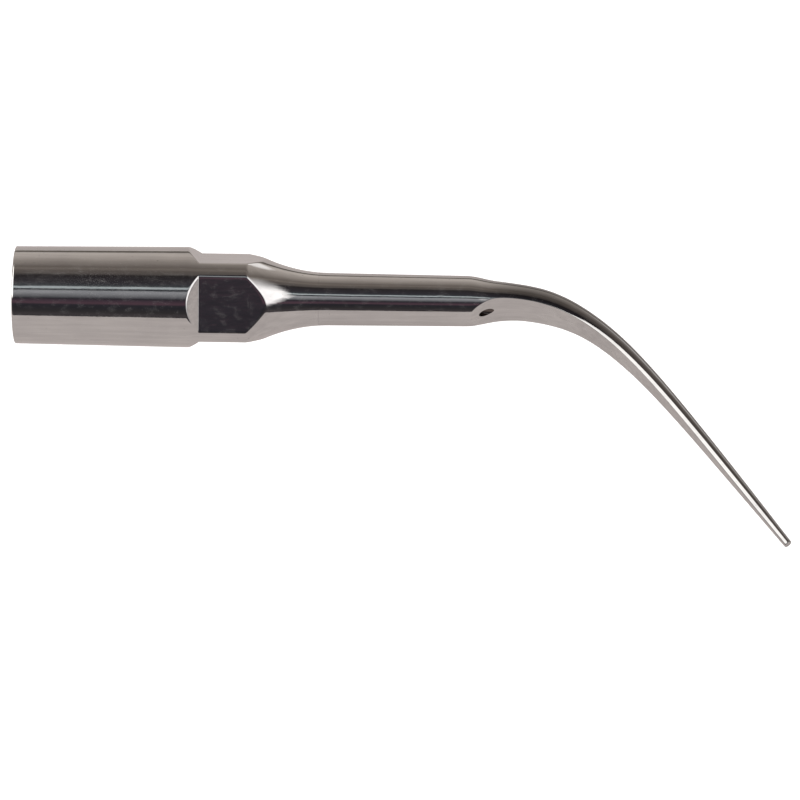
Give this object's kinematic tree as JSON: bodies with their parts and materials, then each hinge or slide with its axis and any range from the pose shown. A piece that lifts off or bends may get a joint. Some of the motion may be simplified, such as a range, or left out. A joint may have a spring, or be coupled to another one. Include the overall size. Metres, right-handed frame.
{
  "type": "ultrasonic scaler tip",
  "caption": "Screw-on ultrasonic scaler tip: a threaded hub with wrench flats and a flared neck, and a slim bent working stem with a ground face and a water outlet.",
  "frame": {"origin": "centre of the hub's rear seat face, on the axis of its internal thread", "axes": "+X along the thread axis towards the working end, +Z the outward normal of the top wrench flat; the working end bends towards -Y and -Z"},
  "size_m": [0.0378, 0.0124, 0.0124],
  "materials": {
    "hub_steel": "mirror-polished stainless steel, fine lengthwise polishing lines",
    "stem_steel": "mirror-polished stainless steel, fine lengthwise polishing lines"
  },
  "bodies": {
    "root": {"threaded_hub": "hub_steel", "working_stem": "stem_steel"}
  },
  "joints": []
}
